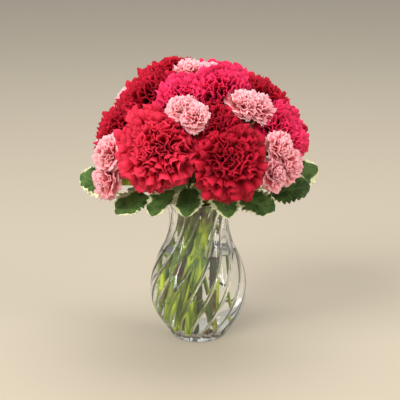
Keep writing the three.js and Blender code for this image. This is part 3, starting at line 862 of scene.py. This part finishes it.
def leafMaterial():
    material, graph = newMaterial("leaf")
    _, across, along = uvIn(graph, "leaf")
    place = placeIn(graph)
    lot = lotIn(graph)
    offCentre = (across - 0.5).size() * 2.0
    mottle = noise(graph, place, leafGrain["mottle"], 3.0)
    broad = noise(graph, place, leafGrain["broad"], 2.0)
    sideVeins = (along * leafShape["veins"] - offCentre * leafShape["veinSlant"]) * 2.0 * math.pi
    veins = sideVeins.sine().between(0.86, 1.0) * 0.6
    midVein = offCentre.between(0.0, leafGrain["midVein"], 1.0, 0.0)
    lines = veins.math("MAXIMUM", veins, midVein)
    light = (mottle * 0.6 + broad * 0.4 + 0.12 * lot).between(0.42, 0.64)
    body = light.mixed(leafFinish["dark"], leafFinish["green"])
    veined = (lines * 0.45).mixed(body, leafFinish["light"])
    margin = (offCentre + 1.2 * (broad - 0.5) + 0.7 * (mottle - 0.5) + 0.3 * lot).between(0.9, 1.0)
    height = lines + mottle * 0.3
    relief = {"Strength": leafGrain["relief"], "Distance": leafGrain["depth"], "Height": height}
    surface = {
        "Base Color": margin.mixed(veined, leafFinish["cream"]),
        "Roughness": 0.36 + 0.2 * mottle,
        "Specular IOR Level": 0.45,
        "Normal": graph.node("Bump", {"invert": True}, relief),
    }
    front = graph.node("BsdfPrincipled", {}, surface)
    through = graph.node("BsdfTranslucent", {}, {"Color": leafFinish["through"]})
    both = {0: leafGrain["through"], 1: front, 2: through}
    return finishMaterial(material, graph.node("MixShader", {}, both))


# Leafy twigs: azimuth at the neck, then for each leaf its foot's azimuth, radius and height, its heading,
# droop, roll and length
twigs = [
    (-16, [(-8, 42, 164, -12, 36, 0, 36), (-36, 42, 160, -40, 32, 0, 37)]),
    (-80, [(-58, 58, 153.5, -66, 22, -28, 37), (-84, 84, 152, -93, -28, -55, 38)]),
    (30, [(24, 41, 162, 24, 36, 0, 37), (42, 56, 155, 64, 14, 30, 40)]),
    (80, [(72, 74, 153, 80, -14, 45, 40), (92, 86, 156, 92, -30, 55, 38)]),
    (122, [(118, 60, 154, 112, 6, 15, 40), (140, 50, 157, 146, 24, 0, 38)]),
    (178, [(164, 46, 154, 164, 26, 0, 36), (-174, 56, 153, -180, 14, -15, 40)]),
    (-154, [(-154, 43, 156.5, -148, 34, 0, 36), (-140, 58, 153, -141, 12, 15, 40)]),
    (-112, [(-121, 48, 156.5, -115, 26, 0, 37), (-106, 70, 153, -108, 2, 20, 40)]),
]
# The young leaves of each twig, that rise under the blooms: azimuth and radius of each one's foot
youngLeaves = [
    [(-31, 34), (4, 32)],
    [(-76, 58)],
    [],
    [(58, 50)],
    [(106, 44)],
    [(168, 38)],
    [(-146, 34)],
    [(-124, 38)],
]
youngShape = {"height": 150, "rise": 52, "length": 26}
twigShape = {
    "radius": 1.05,
    "endRadius": 0.6,
    "footGap": 1,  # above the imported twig's foot
    "neckReach": 22,
    "lipReach": 26,
    "lipHeight": 151,
    "forkDepth": 3,
    "pull": 0.25,
    "steps": 14,
    "bladeReach": 8,  # how far it runs under the blade
}
leafShape = {
    "rows": 56,
    "columns": 14,
    "width": 0.8,  # of its length
    "arch": 1.5,
    "fold": 3,
    "outline": [
        (0, 0.08), (0.06, 0.42), (0.17, 0.72), (0.36, 0.97), (0.6, 1.0),
        (0.78, 0.86), (0.9, 0.6), (0.97, 0.32), (1, 0.05),
    ],
    "teeth": 8,
    "toothDepth": 0.2,
    "toothMiddle": 0.6,
    "toothSkew": (0.06, 0.03),  # from one side to the other, and outwards
    "edge": 0.55,  # where the teeth and the wave begin
    "wave": 1.1,
    "waves": (2.2, 1.3),  # how many, and how far the two sides differ
    "veins": 9.0,
    "veinSlant": 2.4,
    "quilt": 0.25,
    "thickness": 0.4,
}


def stemAt(neck, height):
    turn = math.radians(bundle["fanTurn"])
    x = neck[0] * math.cos(turn) - neck[1] * math.sin(turn)
    y = neck[0] * math.sin(turn) + neck[1] * math.cos(turn)
    low, high = bundle["ease"]
    eased = np.clip((neck[0] - low) / (high - low), 0, 1)
    kept = 1 - eased**2 * (3 - 2 * eased)
    sideways = np.array([x, y]) * bundle["fan"] + np.array(bundle["lean"]) * kept
    return np.array([*(neck + sideways * (bundle["neckPlane"] - height)), height])


def bendPath(start, leaving, end, arriving):
    reach = np.linalg.norm(end - start) * twigShape["pull"]
    handles = [start, start + leaving * reach, end - arriving * reach, end]
    t = np.linspace(0, 1, twigShape["steps"])[:, None]
    weights = [(1 - t) ** 3, 3 * t * (1 - t) ** 2, 3 * t**2 * (1 - t), t**3]
    return list(sum(w * h for w, h in zip(weights, handles)))


# A round stalk along a path, thinner towards its end
def addStalk(path, material):
    curve = bpy.data.curves.new("stalk", "CURVE")
    curve.dimensions = "3D"
    curve.bevel_depth = mm
    curve.bevel_resolution = 3
    curve.use_fill_caps = True
    radius, taper = twigShape["radius"], twigShape["endRadius"] - twigShape["radius"]
    line = curve.splines.new("POLY")
    line.points.add(len(path) - 1)
    for i, (point, place) in enumerate(zip(line.points, path)):
        point.co = (*(place * mm), 1)
        point.radius = radius + taper * i / (len(path) - 1)
    piece = bpy.data.objects.new("stalk", curve)
    bpy.context.scene.collection.objects.link(piece)
    makeActive(piece)
    bpy.ops.object.convert(target="MESH")
    bpy.ops.object.mode_set(mode="EDIT")
    bpy.ops.mesh.select_all(action="SELECT")
    bpy.ops.mesh.remove_doubles(threshold=1e-6)
    bpy.ops.object.mode_set(mode="OBJECT")
    piece.data.materials.append(material)
    smooth(piece)
    return piece


def addLeaf(leaf, material, seed):
    azimuth, radius, height, heading, droop, roll, length = leaf
    random = np.random.default_rng(seed)
    foot = around(azimuth, radius, height)
    ahead = direction(heading, 90 + droop)
    across = unit(np.cross(ahead, [0, 0, 1]))
    turn = math.radians(roll)
    across = across * math.cos(turn) + np.cross(ahead, across) * math.sin(turn)
    face = np.cross(across, ahead)
    rows, columns = leafShape["rows"], leafShape["columns"]
    bpy.ops.mesh.primitive_grid_add(x_subdivisions=columns, y_subdivisions=rows, size=2)
    piece = bpy.context.object
    flat = np.array([v.co[:2] for v in piece.data.vertices])
    u, t = flat[:, 0], (flat[:, 1] + 1) / 2
    out, wide = np.abs(u), leafShape["width"] * length / 2
    half = np.interp(t, *zip(*leafShape["outline"])) * wide
    skew, outwards = leafShape["toothSkew"]
    tooth = np.abs(np.sin(np.pi * leafShape["teeth"] * (t + skew * np.sign(u) + outwards * out)))
    edge = np.clip((out - leafShape["edge"]) / (1 - leafShape["edge"]), 0, 1)
    sideways = u * half * (1 + leafShape["toothDepth"] * edge * (tooth - leafShape["toothMiddle"]))
    often, apart = leafShape["waves"]
    wave = edge * np.sin(2 * np.pi * (often * t + random.uniform(0, 1)) + apart * np.sign(u))
    puffs = np.sin(2 * np.pi * (leafShape["veins"] * t - leafShape["veinSlant"] * out))
    puffs = puffs * np.minimum(3 * out, 1)
    lift = leafShape["fold"] * out * half / wide + 4 * leafShape["arch"] * t * (1 - t)
    lift = lift + leafShape["wave"] * wave + leafShape["quilt"] * puffs
    points = foot + (t * length)[:, None] * ahead + sideways[:, None] * across + lift[:, None] * face
    piece.data.vertices.foreach_set("co", (points * mm).astype(np.float32).ravel())
    piece.data.materials.append(material)
    while piece.data.uv_layers:
        piece.data.uv_layers.remove(piece.data.uv_layers[0])
    putUv(piece.data, "leaf", np.stack([(u + 1) / 2, t], axis=1))
    putLot(piece.data, random.uniform(0, 1, 1).repeat(len(u)))
    applied(piece, "SOLIDIFY", thickness=leafShape["thickness"] * mm, offset=0)
    smooth(piece)
    return piece, foot, ahead


def makeTwig(name, azimuth, leaves, young, seed):
    neck = around(azimuth, twigShape["neckReach"], 0)[:2]
    lip = around(azimuth, twigShape["lipReach"], twigShape["lipHeight"])
    top = stemAt(neck, bundle["neckPlane"])
    rise = unit(lip - top)
    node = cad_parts[name]
    low = min(v.co.z for v in node.data.vertices) / mm + twigShape["footGap"]
    pieces = []
    rising = (-youngShape["rise"], 0, youngShape["length"])
    extra = [(turn, radius, youngShape["height"], turn, *rising) for turn, radius in young]
    for i, leaf in enumerate([*leaves, *extra]):
        blade, foot, ahead = addLeaf(leaf, leafGreen, seed + i)
        start = lip if i == 0 else lip - rise * twigShape["forkDepth"]
        lower = [stemAt(neck, low), top] if i == 0 else []
        path = lower + bendPath(start, rise, foot, ahead) + [foot + ahead * twigShape["bladeReach"]]
        pieces += [blade, addStalk(path, stemGreen)]
    whole = joined(pieces)
    whole.name = name.replace("leaf_", "leafy_")
    dress(whole, "leaf", name)


leafGreen = leafMaterial()
for i, (azimuth, leaves) in enumerate(twigs):
    makeTwig(f"leaf_twig_{i + 1}", azimuth, leaves, youngLeaves[i], seeds["twig"] + 10 * i)
print("leaves made")


# The vase: a profile spun into a bulb, then drawn in along twisted grooves between rounded flutes
vase = {
    "profile": [
        (0, 25), (2.5, 27), (14, 35), (30, 45), (48, 49), (66, 47.6), (84, 41.8), (102, 33.8), (118, 30),
        (133, 30.6), (146, 35),
    ],
    "flutes": 18,
    "fluteDepth": 0.045,
    "fluteTwist": 85,
    "grooveWidth": 1.1,  # half of it
    "grooveDepth": 0.75,
    "lobe": 0.25,
    "crowding": 1.8,  # how much closer the columns stand near a groove
    "fade": 6,  # how far from the foot and the rim the grooves reach their depth
    "height": 146,
    "wall": 3,
    "floor": 7,
    "floorRadius": 21,
    "rounding": 9,  # from the floor up into the wall
    "lip": [(0.1, 0.8), (0.7, 0.15), (1.5, 0), (2.4, 0.3)],  # how far in from the rim, and down
    "steps": 360,
    "firstRow": 2.5,
    "rowHeight": 2,
}
water = {
    "level": 92,
    "gap": -0.15,  # it wets the glass, so it reaches just inside it
    "creep": [(0, 0), (0.8, 0.6), (2.4, 0.9)],  # at the glass: how far in, and down
    "middle": 1,  # how far down from the level
}
glassFinish = {
    "glass": {"ior": 1.5, "tint": colour(0.99, 1.0, 0.995), "ripple": 0.03},
    "water": {"ior": 1.33, "tint": colour(0.995, 1.0, 0.995), "ripple": 0.0},
}


def glassMaterial(name):
    finish = glassFinish[name]
    material, graph = newMaterial(name)
    swell = noise(graph, placeIn(graph), 38.0, 2.0)
    relief = {"Strength": finish["ripple"], "Distance": 0.001, "Height": swell}
    surface = {
        "Base Color": finish["tint"],
        "Roughness": 0.0,
        "Transmission Weight": 1.0,
        "IOR": finish["ior"],
        "Normal": graph.node("Bump", {}, relief),
    }
    clear = graph.node("BsdfPrincipled", {}, surface)
    shadow = graph.node("BsdfTransparent", {}, {"Color": finish["tint"]})
    isShadow = graph.node("LightPath", {}, {}, output=1)
    return finishMaterial(material, graph.node("MixShader", {}, {0: isShadow, 1: clear, 2: shadow}))


# A smooth curve through the profile's points, as a radius at each height
def profileRadius(height):
    heights, radii = (np.array(x, float) for x in zip(*vase["profile"]))
    slopes = np.gradient(radii, heights)
    i = int(np.clip(np.searchsorted(heights, height) - 1, 0, len(heights) - 2))
    gap = heights[i + 1] - heights[i]
    t = (height - heights[i]) / gap
    return (
        (2 * t**3 - 3 * t**2 + 1) * radii[i]
        + (t**3 - 2 * t**2 + t) * gap * slopes[i]
        + (3 * t**2 - 2 * t**3) * radii[i + 1]
        + (t**3 - t**2) * gap * slopes[i + 1]
    )


def innerRadius(height):
    wall = profileRadius(height) * (1 - vase["fluteDepth"] / 2) - vase["wall"]
    rounding = max(0, (vase["floor"] + vase["rounding"] - height) / vase["rounding"])
    return wall - (wall - vase["floorRadius"]) * rounding**2


# Spins a profile of radius and height round the vase's axis into a closed skin
def spun(name, profile, material):
    mesh = bpy.data.meshes.new(name)
    points = [(r * mm, 0, z * mm) for r, z in profile]
    mesh.from_pydata(points, [(i, i + 1) for i in range(len(points) - 1)], [])
    mesh.materials.append(material)
    piece = bpy.data.objects.new(name, mesh)
    bpy.context.scene.collection.objects.link(piece)
    makeActive(piece)
    bpy.ops.object.mode_set(mode="EDIT")
    bpy.ops.mesh.select_all(action="SELECT")
    bpy.ops.mesh.spin(steps=vase["steps"], angle=2 * math.pi, center=(0, 0, 0), axis=(0, 0, 1))
    bpy.ops.mesh.select_all(action="SELECT")
    bpy.ops.mesh.remove_doubles(threshold=1e-6)
    bpy.ops.mesh.normals_make_consistent(inside=False)
    bpy.ops.object.mode_set(mode="OBJECT")
    return piece


def vaseProfile():
    top, floor = vase["height"], vase["floor"]
    heights = list(np.arange(vase["firstRow"], top - 1, vase["rowHeight"]))
    outer = [(0, 0), (profileRadius(0) - 3, 0), (profileRadius(0), 0.4), (profileRadius(0.8), 1.2)]
    outer += [(profileRadius(z), z) for z in heights]
    lip = [(profileRadius(top) - within, top - below) for within, below in vase["lip"]]
    inner = [(innerRadius(z), z) for z in reversed(heights) if z > floor + 0.6]
    return outer + lip + inner + [(vase["floorRadius"] - 3, floor), (0, floor)]


def makeVase():
    top = vase["height"]
    piece = spun("glass_vase", vaseProfile(), glassMaterial("glass"))
    points = np.array([v.co for v in piece.data.vertices]) / mm
    radius, z = np.hypot(points[:, 0], points[:, 1]), points[:, 2]
    flute = 2 * math.pi / vase["flutes"]
    cell, place = np.divmod(np.arctan2(points[:, 1], points[:, 0]) / flute + 1e-6, 1)
    place = place - 0.5
    place = np.sign(place) * 0.5 * np.abs(2 * place) ** vase["crowding"]
    angle = (cell + 0.5 + place) * flute + math.radians(vase["fluteTwist"]) / top * z
    betweenWalls = np.array([innerRadius(h) for h in z]) + 0.4 * vase["wall"]
    outside = (radius > betweenWalls) | (z < vase["floor"] - 1)
    fade = np.clip(z / vase["fade"], 0, 1) * np.clip((top - 1 - z) / vase["fade"], 0, 1) * outside
    groove = np.exp(-((place * flute * radius / vase["grooveWidth"]) ** 2))
    lobe = (1 - np.abs(2 * place)) ** 2
    cut = fade * (vase["grooveDepth"] * groove + vase["lobe"] * lobe)
    radius = radius - cut * (radius > 1)
    points = np.stack([radius * np.cos(angle), radius * np.sin(angle), z], axis=1) * mm
    piece.data.vertices.foreach_set("co", points.astype(np.float32).ravel())
    smooth(piece)
    dress(piece, "glass", "vase")


def makeWater():
    level, gap = water["level"], water["gap"]
    base = vase["floor"] + gap
    profile = [(0, base), (vase["floorRadius"] - 4, base)]
    heights = np.arange(vase["floor"] + 1, level - 0.5, vase["rowHeight"])
    profile += [(innerRadius(z) - gap, z) for z in heights]
    profile += [(innerRadius(level) - gap - within, level - below) for within, below in water["creep"]]
    profile += [(0, level - water["middle"])]
    piece = spun("vase_water", profile, glassMaterial("water"))
    smooth(piece)
    dress(piece, "water", "water")


makeVase()
makeWater()
print("vase and water made")


# Floor, lights and surroundings, in metres and watts
stage = {"radius": 9.0, "tint": colour(0.37, 0.32, 0.245), "roughness": 0.6}
# Place, aim, width and height, power, tint, and whether the glass mirrors it
lights = {
    "key_light": ((-1.3, -1.5, 1.7), (0, 0, 0.18), (1.3, 1.3), 74, (1, 0.98, 0.95), False),
    "fill_light": ((1.7, -1.0, 0.9), (0, 0, 0.15), (1.2, 1.6), 24, (1, 0.98, 0.96), False),
    "left_strip": ((-1.5, -0.9, 0.6), (0, 0, 0.1), (0.1, 1.5), 6, (1, 1, 1), True),
    "right_strip": ((1.5, -0.8, 0.6), (0, 0, 0.1), (0.06, 1.4), 3, (1, 1, 1), True),
    "top_light": ((0.2, 0.5, 2.2), (0, 0, 0.1), (1.6, 1.6), 32, (1, 1, 1), False),
}
# Its colours from straight down to straight up
sky = {
    "strength": 0.74,
    "stops": [
        (0.0, colour(0.4, 0.37, 0.32)),
        (0.5, colour(0.62, 0.58, 0.5)),
        (0.8, colour(0.95, 0.95, 0.93)),
        (1.0, colour(1, 1, 1)),
    ],
}


def addFloor():
    bpy.ops.mesh.primitive_circle_add(vertices=96, radius=stage["radius"], fill_type="NGON")
    floor = bpy.context.object
    floor.name = "floor"
    material, graph = newMaterial("floor")
    surface = {"Base Color": stage["tint"], "Roughness": stage["roughness"]}
    floor.data.materials.append(finishMaterial(material, graph.node("BsdfPrincipled", {}, surface)))


def addLight(name, place, aim, size, power, tint, mirrored):
    bpy.ops.object.light_add(type="AREA", location=place)
    light = bpy.context.object
    light.name = name
    light.data.shape = "RECTANGLE"
    light.data.size, light.data.size_y = size
    light.data.energy = power
    light.data.color = tint
    light.visible_glossy = mirrored
    light.visible_transmission = mirrored
    light.rotation_euler = (Vector(aim) - Vector(place)).to_track_quat("-Z", "Y").to_euler()


def addWorld():
    world = bpy.data.worlds.new("studio")
    bpy.context.scene.world = world
    world.use_nodes = True
    world.node_tree.nodes.clear()
    graph = Wire(world.node_tree)
    height = graph.node("SeparateXYZ", {}, {0: graph.node("TexCoord", {}, {})}, output=2)
    tint = graph.node("ValToRGB", {"stops": sky["stops"]}, {0: height.between(-1.0, 1.0)})
    light = graph.node("Background", {}, {0: tint, 1: sky["strength"]})
    out = world.node_tree.nodes.new("ShaderNodeOutputWorld")
    world.node_tree.links.new(light.socket, out.inputs["Surface"])


addFloor()
for name, settings in lights.items():
    addLight(name, *settings)
addWorld()
bpy.context.scene.view_settings.view_transform = "Standard"
print("stage made")
